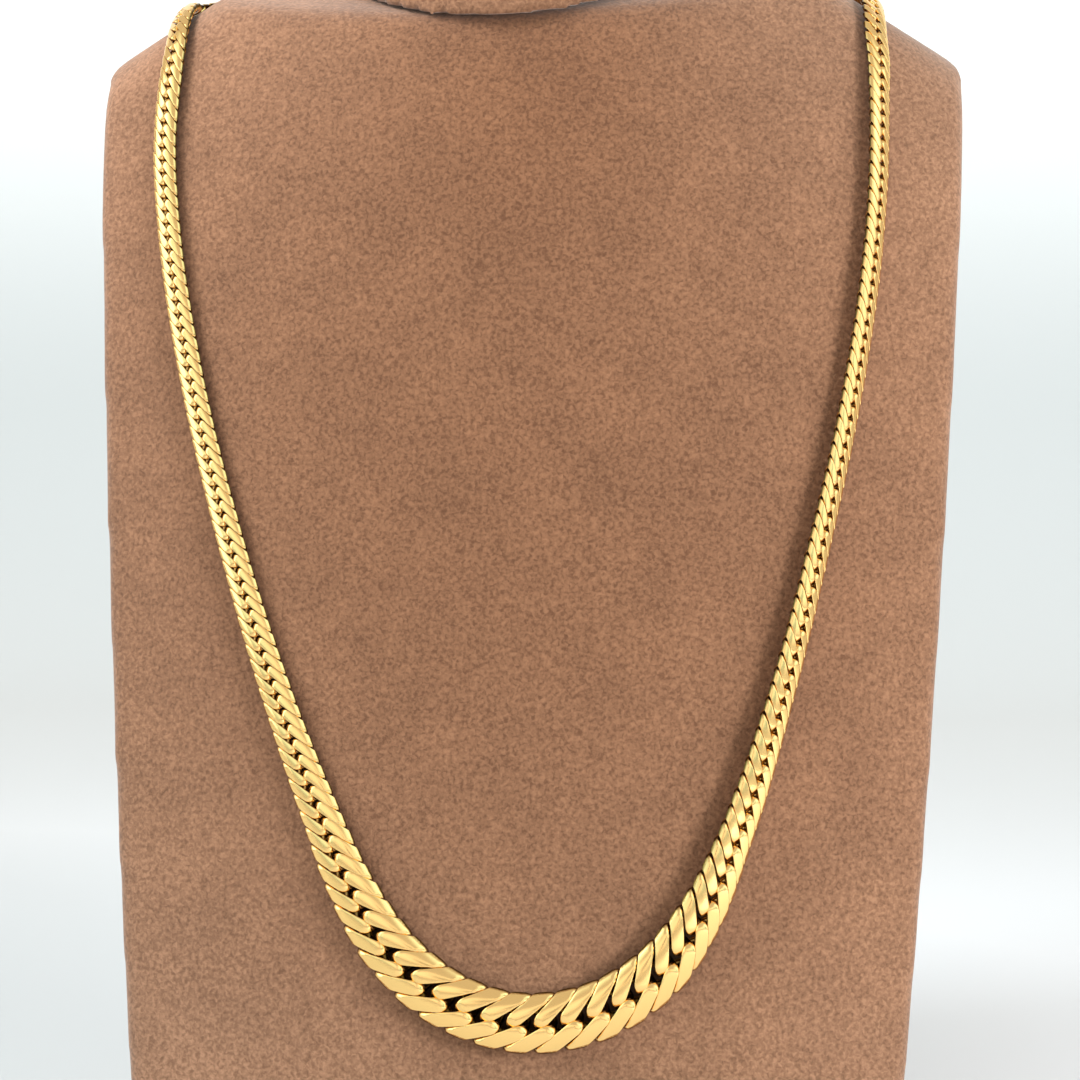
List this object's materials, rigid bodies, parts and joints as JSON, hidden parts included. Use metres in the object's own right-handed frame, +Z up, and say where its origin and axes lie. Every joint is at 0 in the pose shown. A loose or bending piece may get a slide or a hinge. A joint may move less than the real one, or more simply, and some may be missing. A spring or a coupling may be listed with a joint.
{
  "type": "graduated double curb chain necklace on a neck bust",
  "caption": "Graduated gold necklace of flat interlocked curb links that widen toward the middle, draped on a suede-covered display bust with a neck and a flat foot.",
  "frame": {"origin": "middle of the bust's flat base", "axes": "+Z up through the neck, the front of the bust faces -Y, +X to the right of a viewer in front"},
  "size_m": [0.137, 0.0761, 0.232],
  "materials": {
    "suede": "matte, short nap",
    "gold": "polished"
  },
  "bodies": {
    "root": {"bust_chest": "suede", "bust_neck": "suede", "chain_left": "gold", "chain_right": "gold", "chain_back_left": "gold", "chain_back_right": "gold", "clasp": "gold"}
  },
  "joints": []
}
